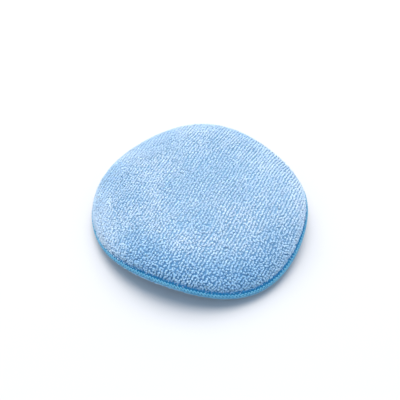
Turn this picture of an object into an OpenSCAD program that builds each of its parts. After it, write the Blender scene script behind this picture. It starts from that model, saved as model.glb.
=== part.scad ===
// Round polishing pad: two terry cloths over a foam disc, their edges sewn together by an overlock stitch.
// Millimetres, +Z up. The origin is on the surface that the pad lies on, under the middle of its outline.
// Angles run anticlockwise from +X, seen from above. The edge crease is where a face meets the stitching.

/* [Pad] */
// Mean diameter over the stitched edge
pad_d = 130; // [100:1:160]
// Mean height of the upper edge crease above the surface that the pad lies on
crease_h = 13.4; // [12:0.1:17]
// How far the upper face rises above the crease
face_rise = 12.4; // [9:0.1:14]
// Exponent of the domes' sides: a small value makes them steep and full
side_power = 0.42; // [0.3:0.01:0.5]
// How far the lower face is pressed in where it lies on the surface
press_in = 0.8; // [0.4:0.1:1.5]

/* [Layers] */
// Thickness of each terry cloth, pile included
cloth_t = 2.6; // [1.8:0.1:3.2]
// Gap between the layers, measured straight up
layer_gap = 0.3; // [0.2:0.05:0.4]

/* [Stitched edge] */
// Height of the stitched edge
edge_h = 4.8; // [4.6:0.1:6]
// How far the stitching stands out beyond the crease
edge_out = 1.8; // [1.6:0.05:2.2]
// Stitches round the pad
stitch_count = 216; // [150:1:230]
// Diameter of the looper threads
looper_d = 0.5; // [0.35:0.05:0.6]
// Diameter of the needle thread
needle_d = 0.4; // [0.3:0.05:0.4]
// Width of the bend at each end of a stitch
bend_w = 0.7; // [0.6:0.05:0.8]

/* [Outline] */
// Size of the outline's two lobes, outwards
two_lobe = 0.2; // [0:0.1:1]
// Angle of their first crest
two_lobe_at = -52; // [-90:1:90]
// Size of the outline's three lobes
three_lobe = 1.4; // [0:0.1:2]
// Angle of their first crest
three_lobe_at = 59; // [-60:1:60]
// Size of the outline's four lobes
four_lobe = 0.3; // [0:0.1:1]
// Angle of their first crest
four_lobe_at = 5; // [-45:1:45]
// Size of the outline's five lobes
five_lobe = 0.3; // [0:0.1:1]
// Angle of their first crest
five_lobe_at = 9; // [-36:1:36]

/* [Edge waves] */
// Height of the edge's two waves
two_wave = 1.9; // [0:0.1:2.2]
// Angle of their first crest
two_wave_at = 77; // [-90:1:90]
// Height of the edge's three waves
three_wave = 2.8; // [0:0.1:3]
// Angle of their first crest
three_wave_at = -3; // [-60:1:60]
// Height of the edge's four waves
four_wave = 1.4; // [0:0.1:1.6]
// Angle of their first crest
four_wave_at = -12; // [-45:1:45]

/* [Hidden] */

// Flat facets round the pad, and rings from the middle of a face to its edge
sectors = 48;
rings = 10;
// Exponent of the domes over the middle of the pad
crown_power = 2.6;
// Corner radius of a three-sided thread, for each unit of the round thread's radius that it stands for
corner_share = 1.5;
// How far the two looper threads' outer bends stay from the middle of the edge, in their own corner radii
bend_clear = 1.15;
// How far the tip of a hem stays inside the stitching
hem_inset = 0.8;

crease_r = pad_d / 2 - edge_out;
mid_edge = edge_h / 2;
looper_corner = looper_d / 2 * corner_share;
stitch_turn = 360 / stitch_count;
bend_turn = bend_w / pad_d * 360 / PI;

// Places in the cross-section of the stitched edge: [outwards, upwards] from the crease
looper_inner = [looper_d, -looper_d / 2];
looper_outer = [edge_out - looper_corner, -mid_edge + bend_clear * looper_corner];
needle_top = [-0.15, 0.1];
hem_top = [0.03, -looper_d];
hem_tip = [edge_out - hem_inset, -mid_edge + layer_gap / 2];

function lobe(a, count, size, crest) = size * cos(count * (a - crest));

// Radius of the crease at angle a
function edge_r(a) = crease_r + lobe(a, 2, two_lobe, two_lobe_at) + lobe(a, 3, three_lobe, three_lobe_at)
    + lobe(a, 4, four_lobe, four_lobe_at) + lobe(a, 5, five_lobe, five_lobe_at);

// Height of the crease above its mean height at angle a
function edge_wave(a) = lobe(a, 2, two_wave, two_wave_at) + lobe(a, 3, three_wave, three_wave_at)
    + lobe(a, 4, four_wave, four_wave_at);

// The outline's lobes are not even, so the pad is shifted to stand over the origin
outline = [for (a = [0:359]) (edge_r(a) + edge_out) * [cos(a), sin(a)]];
outline_x = [for (p = outline) p.x];
outline_y = [for (p = outline) p.y];
shift = -[min(outline_x) + max(outline_x), min(outline_y) + max(outline_y)] / 2;

function place(a, r, z) = [r * cos(a) + shift.x, r * sin(a) + shift.y, z];

// A dome from 1 in the middle (s = 0) to 0 at its edge (s = 1)
function dome(s) = pow(1 - pow(s, crown_power), side_power);

// Height of the stitching's lower edge at angle a
function lower_edge_z(a) = crease_h + edge_wave(a) - edge_h;

// Heights at angle a and share s of the radius: the upper face, the lower face as it would hang free and as
// it lies, halfway between the faces, and the inner face of each cloth
function upper_z(a, s) = crease_h + edge_wave(a) * s * s + face_rise * dome(s);
function free_lower_z(a, s) = lower_edge_z(a) - (lower_edge_z(a) + press_in) * dome(s);
function lower_z(a, s) = max(0, free_lower_z(a, s));
function middle_z(a, s) = (upper_z(a, s) + lower_z(a, s)) / 2;
function upper_inner_z(a, s) = max(upper_z(a, s) - cloth_t, middle_z(a, s) + layer_gap / 2);
function lower_inner_z(a, s) = min(lower_z(a, s) + cloth_t, middle_z(a, s) - layer_gap / 2);

// Rings crowd towards the edge, where the faces turn down
function ring_share(k) = sin(90 * k / rings);
function ring_place(a, k, z) = place(a, edge_r(a) * ring_share(k), z);

// A place in the stitched edge's cross-section at angle a
function edge_place(a, p) = place(a, edge_r(a) + p.x, crease_h + edge_wave(a) + p.y);

// The same place on the lower side of the edge
function below(p) = [p.x, -edge_h - p.y];

// A closed body round the Z axis. Each profile runs from the upper middle point outwards, down and back in
// to the lower middle point, and all profiles have the same number of points.
module turned_body(profiles, top, bottom) {
    n = len(profiles);
    m = len(profiles[0]);
    last = n * m + 1;
    points = [top, for (profile = profiles) each profile, bottom];
    faces = [for (i = [0:n - 1]) let (a = 1 + i * m, b = 1 + (i + 1) % n * m) each concat(
        [[0, b, a]],
        [for (k = [0:m - 2]) each [[a + k, b + k, b + k + 1], [a + k, b + k + 1, a + k + 1]]],
        [[last, a + m - 1, b + m - 1]]
    )];
    polyhedron(points, faces, convexity = 4);
}

function unit(v) = v / norm(v);

// A closed three-sided thread through the path's points, one side of it turned away from each point's normal
module closed_thread(path, normals, d) {
    n = len(path);
    points = [for (i = [0:n - 1]) let (
        along = unit(path[(i + 1) % n] - path[(i + n - 1) % n]),
        out = unit(normals[i] - (normals[i] * along) * along),
        side = cross(along, out)
    ) for (k = [0:2]) path[i] + d / 2 * corner_share * (cos(120 * k) * out + sin(120 * k) * side)];
    faces = [for (i = [0:n - 1], k = [0:2]) let (
        a = 3 * i + k,
        b = 3 * i + (k + 1) % 3,
        c = 3 * ((i + 1) % n) + (k + 1) % 3,
        e = 3 * ((i + 1) % n) + k
    ) each [[a, c, b], [a, e, c]]];
    polyhedron(points, faces, convexity = 10);
}

// Where one stitch bends: twice at its inner end, then twice at its outer end, half a stitch further round
function stitch_turns(i) = [for (half = [0, 0.5], side = [-0.5, 0.5])
    (i + half) * stitch_turn + side * bend_turn];

// A looper thread that goes to and fro between its inner and its outer place
module looper_thread(inner, outer, start) {
    slope = unit(outer - inner);
    facing = slope.y < 0 ? [-slope.y, slope.x] : [slope.y, -slope.x];
    turns = [for (i = [0:stitch_count - 1]) each stitch_turns(i + start)];
    path = [for (i = [0:len(turns) - 1]) edge_place(turns[i], i % 4 < 2 ? inner : outer)];
    normals = [for (a = turns) [facing.x * cos(a), facing.x * sin(a), facing.y]];
    closed_thread(path, normals, looper_d);
}

// Upper terry cloth: a domed shell whose hem ends inside the stitching
module face_cloth() {
    color([0.64, 0.80, 0.94])
        turned_body(
            [for (i = [0:sectors - 1]) let (a = 360 * i / sectors) concat(
                [for (k = [1:rings]) ring_place(a, k, upper_z(a, ring_share(k)))],
                [edge_place(a, hem_top), edge_place(a, hem_tip)],
                [for (k = [rings - 1:-1:1]) ring_place(a, k, upper_inner_z(a, ring_share(k)))]
            )],
            place(0, 0, upper_z(0, 0)),
            place(0, 0, upper_inner_z(0, 0))
        );
}

// Lower terry cloth: it curves down from the stitching and is pressed flat on the surface in the middle
module back_cloth() {
    color([0.60, 0.77, 0.92])
        intersection() {
            turned_body(
                [for (i = [0:sectors - 1]) let (a = 360 * i / sectors) concat(
                    [for (k = [1:rings - 1]) ring_place(a, k, lower_inner_z(a, ring_share(k)))],
                    [edge_place(a, below(hem_tip)), edge_place(a, below(hem_top))],
                    [for (k = [rings:-1:1]) ring_place(a, k, free_lower_z(a, ring_share(k)))]
                )],
                place(0, 0, lower_inner_z(0, 0)),
                place(0, 0, free_lower_z(0, 0))
            );
            translate([-pad_d, -pad_d, 0])
                cube([2 * pad_d, 2 * pad_d, crease_h + edge_h]);
        }
}

// Foam disc that fills the space between the cloths and ends just inside the seam
module foam_core() {
    color([0.95, 0.93, 0.85])
        turned_body(
            [for (i = [0:sectors - 1]) let (a = 360 * i / sectors) concat(
                [for (k = [1:rings - 1]) ring_place(a, k, upper_inner_z(a, ring_share(k)) - layer_gap)],
                [for (k = [rings - 1:-1:1]) ring_place(a, k, lower_inner_z(a, ring_share(k)) + layer_gap)]
            )],
            place(0, 0, upper_inner_z(0, 0) - layer_gap),
            place(0, 0, lower_inner_z(0, 0) + layer_gap)
        );
}

// Needle thread: it runs along the crease and dips through both hems at each stitch
module needle_thread() {
    turns = [for (i = [0:stitch_count - 1], side = [-1, -1, 1, 1]) i * stitch_turn + side * bend_turn / 2];
    path = [for (i = [0:len(turns) - 1]) edge_place(turns[i],
        i % 4 == 0 || i % 4 == 3 ? needle_top : below(needle_top))];
    normals = [for (a = turns) [cos(a), sin(a), 0]];
    color([0.10, 0.38, 0.68])
        closed_thread(path, normals, needle_d);
}

// Looper thread over the upper half of the edge
module upper_looper_thread() {
    color([0.28, 0.60, 0.88])
        looper_thread(looper_inner, looper_outer, 0);
}

// Looper thread over the lower half of the edge, half a stitch behind the upper one
module lower_looper_thread() {
    color([0.22, 0.52, 0.82])
        looper_thread(below(looper_inner), below(looper_outer), 0.5);
}

face_cloth();
back_cloth();
foam_core();
needle_thread();
upper_looper_thread();
lower_looper_thread();
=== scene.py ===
"""Round terry polishing pad: looped pile on two domed cloths, a foam core and an overlocked edge.

Lengths are in millimetres until a mesh is made, and Blender's objects are in metres. Angles are in radians,
anticlockwise from +X seen from above. The driving dimensions are those of the CAD model.
"""
import math

import bpy
import numpy as np
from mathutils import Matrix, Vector


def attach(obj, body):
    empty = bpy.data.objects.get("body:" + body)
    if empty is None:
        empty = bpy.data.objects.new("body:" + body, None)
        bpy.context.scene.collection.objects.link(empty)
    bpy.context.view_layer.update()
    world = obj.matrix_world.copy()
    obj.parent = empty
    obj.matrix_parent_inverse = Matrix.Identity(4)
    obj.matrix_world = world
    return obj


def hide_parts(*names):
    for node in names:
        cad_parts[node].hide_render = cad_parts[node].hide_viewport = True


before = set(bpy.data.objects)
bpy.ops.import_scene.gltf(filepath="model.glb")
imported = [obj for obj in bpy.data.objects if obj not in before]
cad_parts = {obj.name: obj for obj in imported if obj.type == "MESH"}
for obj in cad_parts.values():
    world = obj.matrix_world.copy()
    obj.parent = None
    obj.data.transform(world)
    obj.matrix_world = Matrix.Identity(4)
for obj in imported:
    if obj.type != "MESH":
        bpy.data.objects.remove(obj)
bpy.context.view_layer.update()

MM = 0.001
TURN = 2 * math.pi

# ---------------------------------------------------------------- driving dimensions, as in the CAD model
PAD_D = 130.0
CREASE_H = 13.4
FACE_RISE = 12.4
SIDE_POWER = 0.42
CROWN_POWER = 2.6
PRESS_IN = 0.8
CLOTH_T = 2.6
LAYER_GAP = 0.3
EDGE_H = 4.8
EDGE_OUT = 1.8
STITCHES = 216
# Lobes of the outline and waves of the edge: how many, their size, and the first crest's angle in degrees
OUTLINE_LOBES = ((2, 0.2, -52), (3, 1.4, 59), (4, 0.3, 5), (5, 0.3, 9))
EDGE_WAVES = ((2, 1.9, 77), (3, 2.8, -3), (4, 1.4, -12))

CREASE_R = PAD_D / 2 - EDGE_OUT
# Places at which each face's mean cross-section is measured
PROFILE_STEPS = 4001

# ---------------------------------------------------------------- loops of the pile
# From the tips of the loops down to their feet, which are hidden under the ground of the cloth
PILE_H = 2.0
# Between neighbouring rows of loops, and between neighbouring loops of a row
ROW_PITCH = 1.78
LOOP_PITCH = 0.86
ROW_ANGLE = math.radians(65)
ROW_COS, ROW_SIN = math.cos(ROW_ANGLE), math.sin(ROW_ANGLE)
# Between the two feet of a loop
LOOP_SPAN = 0.62
# The loose yarn of a loop: its width across the loop and its thickness
YARN_W = 1.20
YARN_H = 0.95
YARN_RINGS = 6
YARN_SIDES = 5
# How far loops stray by chance along and across their row, and the share that the front edge adds to that
STRAY_ALONG = 0.20
STRAY_ACROSS = 0.17
FRONT_STRAY = 0.8
# How far a whole row wanders to one side and the other
ROW_WANDER = 0.55
# Chance turn of a loop out of its row, the share that open pile adds to it, and chance lean of its tip
LOOP_TURN = 0.45
OPEN_TURN = 0.5
LOOP_LEAN = 0.12
# Height of a loop as a share of the pile's: its mean, its chance part and its limits
HEIGHT_MEAN = 0.97
HEIGHT_CHANCE = 0.13
HEIGHT_LIMITS = (0.60, 1.15)
# Share of the unevenness in height that closed pile loses
CLOSED_EVEN = 0.8
# Limits of a loop's span and of its yarn's thickness, as shares of the usual ones
SPAN_LIMITS = (0.75, 1.25)
THICK_LIMITS = (0.74, 1.18)
# Share of the yarn's thickness that open pile loses, and that closed pile gains
OPEN_THINNER = 0.10
CLOSED_THICKER = 0.35
# Share of the yarn's thickness at a loop's feet, and what is added to it towards the tip
FOOT_SHARE = 0.70
TIP_ADDS = 0.30
# How far the pile reaches down over the stitching, and how far out it goes there for each unit down
OVERHANG = 1.4
OVER_OUT = 0.45
# How far the pile stands out over the stitching where it is fullest, where that is, and the share of the
# radius from which it does so
FLUFF = 1.9
FLUFF_AT = math.radians(112)
FLUFF_FROM = 0.85
# Where the rim's pile stands most open, and where it lies most closed; the colours carry painted shade where
# it is open and painted light where it is closed
OPEN_AT = math.radians(-88)
CLOSED_AT = math.radians(132)

# ---------------------------------------------------------------- ground of the cloths, foam and thread
# From the tips of the loops down to the ground that shows between them, and the ground's own thickness
GROUND_DEPTH = 1.25
GROUND_T = 0.5
GROUND_SECTORS = 216
GROUND_RINGS = 60
# Share of the way to the crease at which the ground turns into the hem
GROUND_REACH = 0.985
# Cross-section of each hem: places outwards from its own crease, and away from the other crease
HEM_TOP = (0.03, -0.5)
HEM_TIP = (1.0, -EDGE_H / 2 + 0.15)
UPPER_HEM = ((-1.2, 0.1), (-0.6, -0.1), HEM_TOP, (0.65, -1.3), HEM_TIP, (0.2, -2.3), (-1.2, -2.3),
             (-1.8, -1.3))
LOWER_HEM = ((-1.8, -1.3), (-1.2, -2.35), (0.2, -2.35), (1.0, -2.35), (0.65, -1.3), HEM_TOP, (-0.6, -0.1),
             (-1.2, 0.1))

FOAM_SECTORS = 144
FOAM_RINGS = 40
# Shares of the way to the crease that the foam fills under the upper cloth and over the lower one
FOAM_UPPER_REACH = 0.93
FOAM_LOWER_REACH = 0.90

THREAD_SIDES = 6
LOOPER_W = 0.58
LOOPER_H = 0.50
NEEDLE_D = 0.42
# Places outwards and upwards from the upper crease, between which the upper looper thread goes to and fro
LOOPER_INNER = (0.85, -0.95)
LOOPER_OUTER = (1.45, -2.15)
# Place outwards and upwards from the upper crease where the needle thread lies, and how far it dips inwards
# and down between stitches
NEEDLE_OUT = 0.25
NEEDLE_UP = 0.42
NEEDLE_IN = 0.5
NEEDLE_DOWN = EDGE_H + 0.5


def summed(angle, terms):
    return sum(size * np.cos(n * (angle - math.radians(crest))) for n, size, crest in terms)


def edge_r(angle):
    return CREASE_R + summed(angle, OUTLINE_LOBES)


def edge_z(angle):
    return CREASE_H + summed(angle, EDGE_WAVES)


def outline_shift():
    """The way from the outline's own centre to its box's middle, so that the pad stands over the origin."""
    angle = np.radians(np.arange(360))
    x = (edge_r(angle) + EDGE_OUT) * np.cos(angle)
    y = (edge_r(angle) + EDGE_OUT) * np.sin(angle)
    return -(x.min() + x.max()) / 2, -(y.min() + y.max()) / 2


SHIFT_X, SHIFT_Y = outline_shift()


def placed(angle, r, z):
    """Points from an angle, a radius and a height."""
    r = r * np.ones_like(angle)
    return np.stack([r * np.cos(angle) + SHIFT_X, r * np.sin(angle) + SHIFT_Y, z * np.ones_like(angle)], -1)


def edge_places(angle, dr, dz):
    """Points of the edge's cross-section, from the upper crease outwards and upwards."""
    return placed(angle, edge_r(angle) + dr, edge_z(angle) + dz)


def dome(s):
    """A dome from 1 in the middle (s = 0) to 0 at its edge (s = 1)."""
    return np.power(np.maximum(0, 1 - np.power(s, CROWN_POWER)), SIDE_POWER)


def upper_z(angle, s):
    return CREASE_H + summed(angle, EDGE_WAVES) * s * s + FACE_RISE * dome(s)


def lower_z(angle, s):
    edge = edge_z(angle) - EDGE_H
    return np.maximum(0, edge - (edge + PRESS_IN) * dome(s))


def eased(value, start, end):
    """0 up to start, 1 from end on, and an even curve between."""
    part = np.clip((value - start) / (end - start), 0, 1)
    return part * part * (3 - 2 * part)


class Face:
    """One outer face of the pad, with its mean cross-section measured along the cloth."""

    def __init__(self, up):
        self.up = up
        self.s = np.sin(np.linspace(0, 1, PROFILE_STEPS) * math.pi / 2)
        if up > 0:
            self.height = upper_z
            mean = CREASE_H + FACE_RISE * dome(self.s)
        else:
            self.height = lower_z
            edge = CREASE_H - EDGE_H
            mean = np.maximum(0, edge - (edge + PRESS_IN) * dome(self.s))
        r = CREASE_R * self.s
        dr, dz = np.gradient(r), np.gradient(mean)
        step = np.hypot(dr, dz)
        self.along = np.concatenate([[0], np.cumsum(np.hypot(np.diff(r), np.diff(mean)))])
        self.normal_r = -dz / step * up
        self.normal_z = dr / step * up
        self.flat_r = self.along[-1]

    def beyond(self, u, v):
        """How far out a place on the flat cloth is, as a share of the whole way to the crease."""
        return np.hypot(u, v) / (self.flat_r * edge_r(np.arctan2(v, u)) / CREASE_R)

    def share(self, along):
        """Share s of the radius at a way out along the cloth, in shares of its whole way."""
        return np.interp(along * self.flat_r, self.along, self.s)

    def point(self, angle, s, depth=0.0):
        """Points on the face, or a depth below it."""
        nr = np.interp(s, self.s, self.normal_r)
        nz = np.interp(s, self.s, self.normal_z)
        fluff = FLUFF * (0.5 + 0.5 * np.cos(angle - FLUFF_AT)) * eased(s, FLUFF_FROM, 1)
        return placed(angle, edge_r(angle) * s + fluff - depth * nr, self.height(angle, s) - depth * nz)

    def from_flat(self, u, v, depth=0.0):
        """Points on the face from places on the flat cloth, before it was stretched over the foam."""
        angle = np.arctan2(v, u)
        way = self.beyond(u, v)
        points = self.point(angle, self.share(np.minimum(1, way)), depth)
        over = self.flat_r * np.maximum(0, way - 1)
        points[..., 0] += OVER_OUT * over * np.cos(angle)
        points[..., 1] += OVER_OUT * over * np.sin(angle)
        points[..., 2] -= self.up * over
        return points


UPPER, LOWER = Face(1), Face(-1)


# ---------------------------------------------------------------- meshes
def mesh_piece(name, points, quads, tris=(), values=None):
    """A smooth-shaded object from arrays of points in millimetres, four-sided faces and three-sided faces."""
    quads = np.asarray(quads, int).reshape(-1, 4)
    tris = np.asarray(tris, int).reshape(-1, 3)
    corners = np.concatenate([quads.ravel(), tris.ravel()])
    sizes = np.concatenate([np.full(len(quads), 4), np.full(len(tris), 3)])
    mesh = bpy.data.meshes.new(name)
    mesh.vertices.add(len(points))
    mesh.vertices.foreach_set("co", (np.asarray(points) * MM).astype(np.float32).ravel())
    mesh.loops.add(len(corners))
    mesh.loops.foreach_set("vertex_index", corners.astype(np.int32))
    mesh.polygons.add(len(sizes))
    mesh.polygons.foreach_set("loop_start", np.concatenate([[0], np.cumsum(sizes)[:-1]]).astype(np.int32))
    mesh.polygons.foreach_set("use_smooth", np.ones(len(sizes), bool))
    mesh.update(calc_edges=True)
    for label, data in (values or {}).items():
        layer = mesh.attributes.new(label, "FLOAT", "POINT")
        layer.data.foreach_set("value", np.asarray(data, np.float32).ravel())
    mesh.validate()
    piece = bpy.data.objects.new(name, mesh)
    bpy.context.scene.collection.objects.link(piece)
    return piece


def unit(v):
    return v / np.maximum(1e-9, np.linalg.norm(v, axis=-1, keepdims=True))


# ---------------------------------------------------------------- looped pile
def rim_zone(angle, way, at, steepness, level, start, end):
    """0 to 1 on the rim's side towards the angle at, growing from one share of the way out to another."""
    return eased(way, start, end) * np.clip(steepness * np.cos(angle - at) + level, 0, 1)


def openness(angle, way):
    """How far the pile stands open, from 1 where it is wide open to -1 where it lies closed.

    It opens where the cloth bends down in front, and lies closed round the back and the left. The colours use
    the same value for painted shade at the front and painted light, a paler tone, round the back and the
    left.
    """
    opened_and_painted_light = rim_zone(angle, way, OPEN_AT, steepness=1.5, level=-0.35, start=0.55, end=0.92)
    closed = rim_zone(angle, way, CLOSED_AT, steepness=1.3, level=0.3, start=0.78, end=0.91)
    return opened_and_painted_light - closed


def frontness(face, u, v):
    """How far a place lies towards the front, from 0 in the middle and behind it to 1 at the front edge."""
    return np.clip(face.beyond(u, v) * np.cos(np.arctan2(v, u) - OPEN_AT), 0, 1)


def on_cloth(along, across):
    """Places on the flat cloth from places along and across the rows."""
    return along * ROW_COS - across * ROW_SIN, along * ROW_SIN + across * ROW_COS


def wander(along, across):
    """How far a row lies to one side of its straight line: waves of a few centimetres, never quite even."""
    return ROW_WANDER * np.sin(along / 5.5 + 1.3 * np.sin(across / 7.0)) * np.sin(across / 6.3 + 0.8)


def drift(u, v, scale, phase):
    """A smooth value from -1 to 1 for each patch of the pile, which a hand has stroked one way or another."""
    return (np.sin(u / scale + phase + 1.7 * np.sin(v / scale * 0.8 + phase * 2))
            * np.sin(v / scale * 1.1 - phase + 1.3 * np.sin(u / scale * 0.7 + phase)))


def loop_places(face, rng):
    """Places of the loops on the flat cloth, scattered about their rows."""
    reach = face.flat_r * 1.05
    rows = np.arange(-reach, reach, ROW_PITCH)
    steps = np.arange(-reach, reach, LOOP_PITCH)
    across, along = np.meshgrid(rows, steps, indexing="ij")
    along = along + rng.uniform(0, LOOP_PITCH, (len(rows), 1))
    loose = 1 + FRONT_STRAY * frontness(face, *on_cloth(along, across))
    along = along + rng.normal(0, STRAY_ALONG, along.shape) * loose
    across = across + rng.normal(0, STRAY_ACROSS, across.shape) * loose
    u, v = on_cloth(along, across + wander(along, across))
    inside = face.beyond(u, v) < 1 + OVERHANG / face.flat_r
    return u[inside], v[inside]


def cloth_axes(face, u, v):
    """Directions at places on the cloth: along the rows, across them and out of the face."""
    nudge = 0.2
    du, dv = nudge * ROW_COS, nudge * ROW_SIN
    along_row = unit(face.from_flat(u + du, v + dv) - face.from_flat(u - du, v - dv))
    across_row = face.from_flat(u - dv, v + du) - face.from_flat(u + dv, v - du)
    out = unit(np.cross(along_row, across_row)) * face.up
    return along_row, unit(np.cross(out, along_row)), out


def pile(face, seed):
    """Every loop of one cloth: points (loops, rings, sides, 3), values at them, and each loop's way out."""
    rng = np.random.default_rng(seed)
    u, v = loop_places(face, rng)
    count = len(u)
    foot = face.from_flat(u, v, PILE_H)
    along_row, across_row, out = cloth_axes(face, u, v)
    opened_and_painted_light = openness(np.arctan2(v, u), face.beyond(u, v))
    open_and_shaded, closed = np.maximum(0, opened_and_painted_light), np.maximum(0, -opened_and_painted_light)

    # Loops turn and lean by chance and with their patch, and are all about as high where the pile is closed
    yaw = rng.normal(0, LOOP_TURN, count) * (1 + OPEN_TURN * opened_and_painted_light) + 0.12 * drift(u, v, scale=9, phase=1.0)
    lean_along = 0.18 * drift(u, v, scale=11, phase=2.2) + rng.normal(0, LOOP_LEAN, count)
    lean_across = 0.15 * drift(u, v, scale=8, phase=4.1) + rng.normal(0, LOOP_LEAN, count)
    uneven = 1 - CLOSED_EVEN * closed
    height = np.clip(rng.normal(HEIGHT_MEAN, HEIGHT_CHANCE, count), *HEIGHT_LIMITS)
    tall = (PILE_H - YARN_H / 2) * (1 + uneven * (height - 1))
    span = LOOP_SPAN * rng.uniform(*SPAN_LIMITS, count)
    thick = rng.uniform(*THICK_LIMITS, count) * (1 - OPEN_THINNER * open_and_shaded + CLOSED_THICKER * closed)

    way = unit(along_row * np.cos(yaw)[:, None] + across_row * np.sin(yaw)[:, None])
    side = unit(np.cross(out, way))
    bend = np.linspace(0, math.pi, YARN_RINGS)
    rise = np.sin(bend) ** 0.75
    centre = (foot[:, None, :]
              - way[:, None, :] * (span[:, None] / 2 * np.cos(bend))[:, :, None]
              + out[:, None, :] * (tall[:, None] * rise)[:, :, None]
              + way[:, None, :] * (lean_along[:, None] * rise)[:, :, None]
              + side[:, None, :] * (lean_across[:, None] * rise)[:, :, None])
    along_yarn = unit(np.gradient(centre, axis=1))
    sideways = unit(side[:, None, :] - along_yarn * (along_yarn * side[:, None, :]).sum(-1, keepdims=True))
    outward = np.cross(along_yarn, sideways)
    size = thick[:, None] * (FOOT_SHARE + TIP_ADDS * rise)
    turn = np.arange(YARN_SIDES) / YARN_SIDES * TURN
    ring = (sideways[:, :, None, :] * np.cos(turn)[:, None] * YARN_W / 2
            + outward[:, :, None, :] * np.sin(turn)[:, None] * YARN_H / 2)
    points = centre[:, :, None, :] + ring * size[:, :, None, None]
    points[..., 2] = np.maximum(points[..., 2], 0)

    shape = (count, YARN_RINGS, YARN_SIDES)
    # The height up each loop paints shade at its feet, and the openness paints shade at the front and light
    # round the back and the left
    values = {"up_loop": np.broadcast_to(rise[None, :, None], shape),
              "tone": np.broadcast_to(rng.random(count)[:, None, None], shape),
              "opened_and_painted_light": np.broadcast_to(opened_and_painted_light[:, None, None], shape)}
    return points, values, np.hypot(u, v)


def loops_piece(name, points, values):
    """A mesh of closed loops of yarn."""
    count, rings, sides, _ = points.shape
    base = np.arange(count)[:, None, None] * rings * sides
    i = np.arange(rings - 1)[:, None] * sides
    k = np.arange(sides)[None, :]
    nxt = (k + 1) % sides
    quads = np.stack([i + k, i + nxt, i + sides + nxt, i + sides + k], -1).reshape(1, -1, 4) + base
    fan = np.stack([np.zeros(sides - 2, int), np.arange(1, sides - 1), np.arange(2, sides)], -1)
    last = (rings - 1) * sides
    caps = np.concatenate([fan[:, ::-1], fan + last])[None] + base
    return mesh_piece(name, points.reshape(-1, 3), quads.reshape(-1, 4), caps.reshape(-1, 3), values)


def make_pile(side_name, face, seed):
    """The pile of one cloth as three pieces, from its middle outwards, so that none is too large a mesh."""
    points, values, way_out = pile(face, seed)
    zone = np.digitize(way_out, np.quantile(way_out, (1 / 3, 2 / 3)))
    made = []
    for number, part in enumerate(("middle", "shoulder", "rim")):
        keep = zone == number
        kept = {label: data[keep] for label, data in values.items()}
        made.append(loops_piece(f"{side_name}_pile_{part}", points[keep], kept))
    return made


# ---------------------------------------------------------------- bodies of the cloths and the foam
def turned(name, profile_points, top, bottom, values=None):
    """A closed body: profile_points is (sectors, rings, 3) from the top's middle out, down and back in."""
    sectors, rings, _ = profile_points.shape
    values = {label: np.append(data, [0, 0]) for label, data in (values or {}).items()}
    points = np.concatenate([profile_points.reshape(-1, 3), [top, bottom]])
    i = np.arange(sectors)[:, None]
    j = (i + 1) % sectors
    k = np.arange(rings - 1)[None, :]
    quads = np.stack([i * rings + k, i * rings + k + 1, j * rings + k + 1, j * rings + k], -1).reshape(-1, 4)
    i, j = i[:, 0], j[:, 0]
    first, last = sectors * rings, sectors * rings + 1
    tris = np.concatenate([
        np.stack([np.full(sectors, first), i * rings, j * rings], -1),
        np.stack([np.full(sectors, last), j * rings + rings - 1, i * rings + rings - 1], -1)])
    return mesh_piece(name, points, quads, tris, values)


def layer(face, sectors, shares, depth):
    """Rings of points at a depth below a face, from its middle outwards."""
    angle = np.arange(sectors) / sectors * TURN
    return [face.point(angle, np.full(sectors, s), depth) for s in shares]


def ground(name, face):
    """The knitted ground that holds the pile, with its hem inside the stitching."""
    angle = np.arange(GROUND_SECTORS) / GROUND_SECTORS * TURN
    ways = np.linspace(0, 1, GROUND_RINGS + 1)[1:]
    shares = face.share(ways * GROUND_REACH)
    if face.up > 0:
        hem = [edge_places(angle, dr, dz) for dr, dz in UPPER_HEM]
        first, last = GROUND_DEPTH, GROUND_DEPTH + GROUND_T
    else:
        hem = [edge_places(angle, dr, -EDGE_H - dz) for dr, dz in LOWER_HEM]
        first, last = GROUND_DEPTH + GROUND_T, GROUND_DEPTH
    start, end = (layer(face, GROUND_SECTORS, shares, depth) for depth in (first, last))
    in_hem = np.concatenate([np.zeros(GROUND_RINGS), np.ones(len(hem)), np.zeros(GROUND_RINGS)])
    out_along = np.concatenate([ways, np.ones(len(hem)), ways[::-1]])
    # The openness paints shade at the front and light round the back and the left, and the hem's mark paints
    # shade in the crease
    values = {"hem": np.tile(in_hem, (GROUND_SECTORS, 1)),
              "opened_and_painted_light": openness(angle[:, None], out_along[None, :])}
    return turned(name, np.stack(start + hem + end[::-1], 1),
                  face.point(0, 0, first), face.point(0, 0, last), values)


def foam():
    """The foam disc between the cloths."""
    depth = CLOTH_T + LAYER_GAP
    upper, lower = (
        layer(face, FOAM_SECTORS, face.share(np.linspace(0, reach, FOAM_RINGS + 1)[1:]), depth)
        for face, reach in ((UPPER, FOAM_UPPER_REACH), (LOWER, FOAM_LOWER_REACH)))
    return turned("foam", np.stack(upper + lower[::-1], 1),
                  UPPER.point(0, 0, depth), LOWER.point(0, 0, depth))


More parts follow.
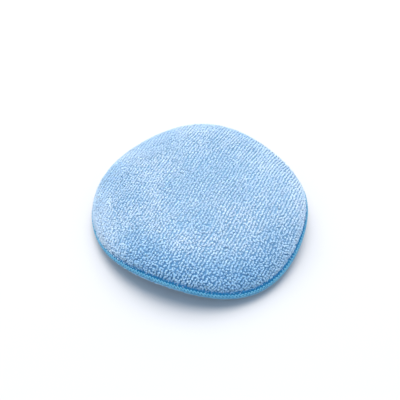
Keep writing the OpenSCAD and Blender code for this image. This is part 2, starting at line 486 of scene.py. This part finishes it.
# ---------------------------------------------------------------- overlock threads
def thread(name, path, facing, width, height, plies, twist):
    """A closed yarn along path, flat on its facing side, with plies that turn once every twist."""
    count = len(path)
    along = unit(np.roll(path, -1, 0) - np.roll(path, 1, 0))
    out = unit(facing - along * (along * facing).sum(-1, keepdims=True))
    side = np.cross(along, out)
    run = np.concatenate([[0], np.cumsum(np.linalg.norm(np.diff(path, axis=0), axis=1))])
    whole = run[-1] + np.linalg.norm(path[0] - path[-1])
    turn = np.arange(THREAD_SIDES) / THREAD_SIDES * TURN
    spin = run / whole * round(whole / twist) * TURN
    bulge = 1 + plies * np.cos(3 * (turn[None, :] - spin[:, None]))
    points = (path[:, None, :]
              + out[:, None, :] * (np.cos(turn) * height / 2 * bulge)[:, :, None]
              + side[:, None, :] * (np.sin(turn) * width / 2 * bulge)[:, :, None])
    i = np.arange(count)[:, None] * THREAD_SIDES
    j = np.roll(i, -1, 0)
    k = np.arange(THREAD_SIDES)[None, :]
    nxt = (k + 1) % THREAD_SIDES
    quads = np.stack([i + k, j + k, j + nxt, i + nxt], -1).reshape(-1, 4)
    return mesh_piece(name, points.reshape(-1, 3), quads)


def bulging(t, inner, outer, bulge):
    """Places on an arc between two places of the edge's cross-section, pushed out in its middle."""
    dr = inner[0] + (outer[0] - inner[0]) * t
    dz = inner[1] + (outer[1] - inner[1]) * t
    push = bulge * 4 * t * (1 - t)
    return dr + push, dz


def looper_path(inner, outer, start, seed):
    """A looper thread's way to and fro over the edge, rounded at each bend, and the way it faces."""
    rng = np.random.default_rng(seed)
    per_stitch = 20
    slant, rounding, bulge = 0.35, 0.09, 0.35
    uneven_reach, uneven_height = 0.08, 0.10
    t = np.arange(STITCHES * per_stitch) / per_stitch
    loose = np.interp(t, np.arange(STITCHES + 1), np.append(rng.normal(0, 1, STITCHES), 0))
    swing = np.cos(t * TURN)
    reach = 0.5 - 0.5 * np.sign(swing) * np.abs(swing) ** 0.75
    angle = (t + start + rounding * np.sin(t * TURN) + slant * reach) / STITCHES * TURN
    dr, dz = bulging(reach * (1 + uneven_reach * loose), inner, outer, bulge)
    path = edge_places(angle, dr, dz + uneven_height * loose)
    slope = np.array([outer[0] - inner[0], outer[1] - inner[1]])
    normal = np.array([abs(slope[1]), slope[0] * (1 if slope[1] < 0 else -1)])
    facing = np.stack([
        normal[0] * np.cos(angle), normal[0] * np.sin(angle), np.full_like(angle, normal[1])], -1)
    return path, unit(facing)


def needle_path():
    """The needle thread's way along the crease, dipping through both hems between stitches."""
    per_stitch = 16
    dip_width = 0.16
    t = np.arange(STITCHES * per_stitch) / per_stitch
    phase = t % 1
    dip = np.exp(-((np.minimum(phase, 1 - phase) / dip_width) ** 2))
    angle = t / STITCHES * TURN
    path = edge_places(angle, NEEDLE_OUT - NEEDLE_IN * dip, NEEDLE_UP - NEEDLE_DOWN * dip ** 2)
    facing = np.stack([np.cos(angle), np.sin(angle), np.full_like(angle, 0.5)], -1)
    return path, unit(facing)


def below(place):
    """The same place on the lower side of the edge."""
    return place[0], -EDGE_H - place[1]


# ---------------------------------------------------------------- material nodes
def new_material(name):
    material = bpy.data.materials.new(name)
    material.use_nodes = True
    return material, material.node_tree.nodes, material.node_tree.links


def object_place(nodes):
    """Places in the object's own metres, so a pattern's scale counts its cells in a metre."""
    return nodes.new("ShaderNodeTexCoord").outputs["Object"]


def attribute(nodes, name):
    node = nodes.new("ShaderNodeAttribute")
    node.attribute_name = name
    return node.outputs["Fac"]


def ramp(nodes, links, value, *stops):
    """A colour from a value, between stops that are each a place and a colour."""
    node = nodes.new("ShaderNodeValToRGB")
    elements = node.color_ramp.elements
    while len(elements) < len(stops):
        elements.new(0.5)
    for element, (place, colour) in zip(elements, stops):
        element.position = place
        element.color = (*colour, 1)
    links.new(value, node.inputs["Fac"])
    return node.outputs["Color"]


def noise(nodes, links, vector, scale, detail, roughness, phase=None):
    """A noise pattern; a phase picks one of its other states."""
    node = nodes.new("ShaderNodeTexNoise")
    node.inputs["Scale"].default_value = scale
    node.inputs["Detail"].default_value = detail
    node.inputs["Roughness"].default_value = roughness
    links.new(vector, node.inputs["Vector"])
    if phase is not None:
        node.noise_dimensions = "4D"
        node.inputs["W"].default_value = phase
    return node.outputs["Fac"]


def cells(nodes, links, vector, scale):
    """Distance from the middles of small round cells."""
    node = nodes.new("ShaderNodeTexVoronoi")
    node.inputs["Scale"].default_value = scale
    links.new(vector, node.inputs["Vector"])
    return node.outputs["Distance"]


def join(links, sockets_and_values):
    """Give each socket its value: a number or a colour is set on it, and an output is linked to it."""
    for socket, value in sockets_and_values:
        if isinstance(value, (int, float)):
            socket.default_value = value
        elif isinstance(value, tuple):
            socket.default_value = (*value, 1)
        else:
            links.new(value, socket)


def mixed(nodes, links, kind, factor, a, b):
    """Two colours mixed."""
    node = nodes.new("ShaderNodeMix")
    node.data_type = "RGBA"
    node.blend_type = kind
    join(links, zip((node.inputs[0], node.inputs[6], node.inputs[7]), (factor, a, b)))
    return node.outputs[2]


def mixed_value(nodes, links, factor, a, b):
    """Two numbers mixed."""
    node = nodes.new("ShaderNodeMix")
    join(links, zip((node.inputs[0], node.inputs[2], node.inputs[3]), (factor, a, b)))
    return node.outputs[0]


def math_node(nodes, links, operation, *values, clamp=False):
    node = nodes.new("ShaderNodeMath")
    node.operation = operation
    node.use_clamp = clamp
    join(links, zip(node.inputs, values))
    return node.outputs[0]


def bumped(nodes, links, height, strength, distance):
    node = nodes.new("ShaderNodeBump")
    node.inputs["Strength"].default_value = strength
    node.inputs["Distance"].default_value = distance
    links.new(height, node.inputs["Height"])
    return node.outputs["Normal"]


def finish_shader(shader, links, colour, normal, settings):
    links.new(colour, shader.inputs["Base Color"])
    links.new(normal, shader.inputs["Normal"])
    for socket, value in settings.items():
        shader.inputs[socket].default_value = value


# ---------------------------------------------------------------- materials
def terry_material():
    """Split-fibre pile: tips paler than their feet, which is painted shade down in the pile, soft patches
    where the pile was stroked, and fine fibres; also painted shade at the front and painted light round the
    back and the left.
    """
    material, nodes, links = new_material("terry_pile")
    place = object_place(nodes)
    opened_and_painted_light = attribute(nodes, "opened_and_painted_light")
    # Shares of painted shade at the front and of painted light round the back and the left
    open_and_shaded = math_node(nodes, links, "MULTIPLY", opened_and_painted_light, 1.0, clamp=True)
    closed = math_node(nodes, links, "MULTIPLY", opened_and_painted_light, -1.4, clamp=True)
    pit_shade_share = math_node(nodes, links, "SUBTRACT", 1.0, closed)

    # Painted shade: darker down the loops where the pile stands open at the front. Painted light: one pale
    # tone where the pile lies closed round the back and the left
    painted_light_tone = 0.56
    shaded_height = math_node(nodes, links, "MULTIPLY_ADD", open_and_shaded, -0.24, attribute(nodes, "up_loop"))
    height = mixed_value(nodes, links, closed, shaded_height, painted_light_tone)
    # Darker towards the loops' feet: painted shade down in the pile
    colour = ramp(nodes, links, height,
                  (0.0, (0.24, 0.40, 0.57)), (0.45, (0.42, 0.57, 0.75)), (0.85, (0.61, 0.74, 0.88)))
    each_loop = ramp(nodes, links, attribute(nodes, "tone"),
                     (0.0, (0.86, 0.90, 0.95)), (1.0, (1.04, 1.03, 1.02)))
    colour = mixed(nodes, links, "MULTIPLY", 1.0, colour, each_loop)
    patches = ramp(nodes, links, noise(nodes, links, place, 45, 2.0, 0.5, phase=4.9),
                   (0.35, (0.84, 0.91, 0.95)), (0.65, (1.10, 1.05, 1.03)))
    colour = mixed(nodes, links, "MULTIPLY", 1.0, colour, patches)
    # Small dark spots: painted shade in holes of the pile, left out where the pile is closed
    painted_pit_shade = ramp(nodes, links, noise(nodes, links, place, 1700, 1.0, 0.6),
                (0.34, (0.30, 0.44, 0.62)), (0.48, (1.03, 1.02, 1.01)))
    colour = mixed(nodes, links, "MULTIPLY", pit_shade_share, colour, painted_pit_shade)
    # Painted shade where the pile is open at the front
    colour = mixed(nodes, links, "MULTIPLY", open_and_shaded, colour, (0.74, 0.91, 0.98))

    fibres = bumped(nodes, links, noise(nodes, links, place, 2600, 3.0, 0.6), 0.5, 0.12 * MM)
    finish_shader(nodes["Principled BSDF"], links, colour, fibres, {
        "Roughness": 0.92,
        "Specular IOR Level": 0.1,
        "Subsurface Weight": 0.7,
        "Subsurface Radius": (1.0, 1.0, 1.0),
        "Subsurface Scale": 0.6 * MM,
        "Sheen Weight": 0.35,
        "Sheen Roughness": 0.45,
        "Sheen Tint": (0.80, 0.90, 1.0, 1)})
    return material


def ground_material():
    """Knitted ground of the cloth, which shows between the loops and inside the stitching."""
    material, nodes, links = new_material("terry_ground")
    knit = cells(nodes, links, object_place(nodes), 900)
    opened_and_painted_light = attribute(nodes, "opened_and_painted_light")
    closed = math_node(nodes, links, "MULTIPLY", opened_and_painted_light, -1.0, clamp=True)
    # A tone deeper than the pile's, darker at the edges of the knit's cells: painted shade between the loops
    colour = ramp(nodes, links, knit, (0.0, (0.26, 0.43, 0.60)), (0.7, (0.18, 0.33, 0.49)))
    # Painted shade at the front, and painted light, one pale tone, round the back and the left
    colour = mixed(nodes, links, "MULTIPLY", opened_and_painted_light, colour, (0.5, 0.68, 0.82))
    colour = mixed(nodes, links, "MIX", closed, colour, (0.54, 0.68, 0.82))
    # Deeper blue in the hem: painted shade in the crease under the pile
    hem = ramp(nodes, links, knit, (0.0, (0.05, 0.34, 0.58)), (0.7, (0.02, 0.21, 0.44)))
    colour = mixed(nodes, links, "MIX", attribute(nodes, "hem"), colour, hem)
    finish_shader(nodes["Principled BSDF"], links, colour, bumped(nodes, links, knit, 0.6, 0.3 * MM), {
        "Roughness": 0.95,
        "Specular IOR Level": 0.15})
    return material


def thread_material(name, light, dark):
    """Textured polyester thread: fine filaments, lighter where they spread."""
    material, nodes, links = new_material(name)
    place = object_place(nodes)
    filaments = noise(nodes, links, place, 3200, 2.0, 0.6)
    uneven = noise(nodes, links, place, 380, 2.0, 0.5)
    both = math_node(nodes, links, "ADD", filaments, uneven)
    colour = ramp(nodes, links, math_node(nodes, links, "MULTIPLY", both, 0.5), (0.35, dark), (0.68, light))
    finish_shader(nodes["Principled BSDF"], links, colour, bumped(nodes, links, filaments, 0.5, 0.08 * MM), {
        "Roughness": 0.6,
        "Specular IOR Level": 0.35,
        "Sheen Weight": 0.2,
        "Sheen Roughness": 0.4})
    return material


def foam_material():
    """Open-cell foam: small round pores of many sizes."""
    material, nodes, links = new_material("open_cell_foam")
    pores = cells(nodes, links, object_place(nodes), 1400)
    # Darker in the middle of each pore: painted shade in the pores
    colour = ramp(nodes, links, pores, (0.15, (0.45, 0.40, 0.30)), (0.5, (0.88, 0.84, 0.74)))
    finish_shader(nodes["Principled BSDF"], links, colour, bumped(nodes, links, pores, 0.8, 0.3 * MM), {
        "Roughness": 0.95})
    return material


# ---------------------------------------------------------------- the pad's pieces
def give(piece, material, slot, *replaced):
    """The piece's material, its body and the CAD nodes that it stands for; its slot, the finish, is not used.
    """
    piece.data.materials.clear()
    piece.data.materials.append(material)
    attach(piece, "root")
    if replaced:
        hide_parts(*replaced)


terry = terry_material()
knit_ground = ground_material()
for side_name, face, seed in (("face", UPPER, 11), ("back", LOWER, 23)):
    cloth = ground(f"{side_name}_ground", face)
    give(cloth, knit_ground, "terry_cloth", f"{side_name}_cloth")
    for part in make_pile(side_name, face, seed):
        give(part, terry, "terry_cloth")

core = foam()
give(core, foam_material(), "foam", "foam_core")

edge_blue = thread_material("looper_thread", (0.23, 0.57, 0.73), (0.085, 0.38, 0.62))
# Deeper blue than the looper thread: painted shade of the crease that the needle thread lies in
seam_blue_and_crease_shade = thread_material("seam_thread", (0.035, 0.27, 0.53), (0.015, 0.145, 0.38))
for name, inner, outer, start, seed in (
    ("upper_looper", LOOPER_INNER, LOOPER_OUTER, 0.0, 5),
    ("lower_looper", below(LOOPER_INNER), below(LOOPER_OUTER), 0.5, 6),
):
    path, facing = looper_path(inner, outer, start, seed)
    yarn = thread(name, path, facing, LOOPER_W, LOOPER_H, plies=0.10, twist=1.6)
    give(yarn, edge_blue, "edge_thread", f"{name}_thread")
path, facing = needle_path()
yarn = thread("needle", path, facing, NEEDLE_D, NEEDLE_D, plies=0.12, twist=1.1)
give(yarn, seam_blue_and_crease_shade, "seam_thread", "needle_thread")


# ---------------------------------------------------------------- floor, light and camera, in metres
FLOOR_HALF = 3.0
SOFTBOX_AWAY = 2.0
SOFTBOX_SIZE = 1.2
WARM_WHITE = (1.0, 0.955, 0.90)
SKY = (0.66, 0.90, 1.12, 1)
SKY_STRENGTH = 0.74
CAMERA_LENS_MM = 63.0
CAMERA_SENSOR_MM = 36.0
CAMERA_ELEVATION = math.radians(49.2)
CAMERA_AWAY = 0.4213
# The middle of the view, from the middle of the edge: to the left and up in the picture
AIM_LEFT = 0.0008
AIM_UP = 0.0023


def make_floor():
    material, nodes, _ = new_material("white_ground")
    shader = nodes["Principled BSDF"]
    shader.inputs["Base Color"].default_value = (0.71, 0.67, 0.665, 1)
    shader.inputs["Roughness"].default_value = 0.9
    shader.inputs["Specular IOR Level"].default_value = 0.1
    corners = [(x * FLOOR_HALF, y * FLOOR_HALF, 0) for x, y in ((-1, -1), (1, -1), (1, 1), (-1, 1))]
    mesh = bpy.data.meshes.new("floor")
    mesh.from_pydata(corners, [], [(0, 1, 2, 3)])
    floor = bpy.data.objects.new("floor", mesh)
    bpy.context.scene.collection.objects.link(floor)
    floor.data.materials.append(material)


def softbox(name, azimuth, elevation, power):
    """A round softbox that faces the pad from an azimuth and an elevation in degrees."""
    azimuth, elevation = math.radians(azimuth), math.radians(elevation)
    level = math.cos(elevation)
    place = SOFTBOX_AWAY * Vector((level * math.cos(azimuth), level * math.sin(azimuth), math.sin(elevation)))
    lamp = bpy.data.lights.new(name, "AREA")
    lamp.shape = "DISK"
    lamp.size = SOFTBOX_SIZE
    lamp.energy = power
    lamp.color = WARM_WHITE
    holder = bpy.data.objects.new(name, lamp)
    holder.location = place
    holder.rotation_euler = (-place).to_track_quat("-Z", "Y").to_euler()
    bpy.context.scene.collection.objects.link(holder)


def make_sky():
    world = bpy.data.worlds.new("studio")
    bpy.context.scene.world = world
    world.use_nodes = True
    background = world.node_tree.nodes["Background"]
    background.inputs["Color"].default_value = SKY
    background.inputs["Strength"].default_value = SKY_STRENGTH


def make_camera():
    """A camera in front of the pad, which looks at a place close to the middle of its edge."""
    data = bpy.data.cameras.new("camera")
    data.sensor_width = CAMERA_SENSOR_MM
    data.lens = CAMERA_LENS_MM
    data.clip_start = 0.01
    data.clip_end = 20
    camera = bpy.data.objects.new("camera", data)
    bpy.context.scene.collection.objects.link(camera)
    middle = Vector((SHIFT_X, SHIFT_Y, CREASE_H + 0.3)) * MM
    back = Vector((0, -math.cos(CAMERA_ELEVATION), math.sin(CAMERA_ELEVATION)))
    upward = Vector((0, math.sin(CAMERA_ELEVATION), math.cos(CAMERA_ELEVATION)))
    camera.location = middle + back * CAMERA_AWAY
    aim = middle - Vector((AIM_LEFT, 0, 0)) + upward * AIM_UP
    camera.rotation_mode = "QUATERNION"
    camera.rotation_quaternion = (aim - camera.location).to_track_quat("-Z", "Y")
    bpy.context.scene.camera = camera


make_floor()
softbox("softbox_above", azimuth=90, elevation=87, power=25.6)
softbox("softbox_behind_right", azimuth=60, elevation=60, power=9.0)
softbox("softbox_behind_left", azimuth=124, elevation=54, power=9.1)
make_sky()
make_camera()
bpy.context.scene.view_settings.view_transform = "Standard"
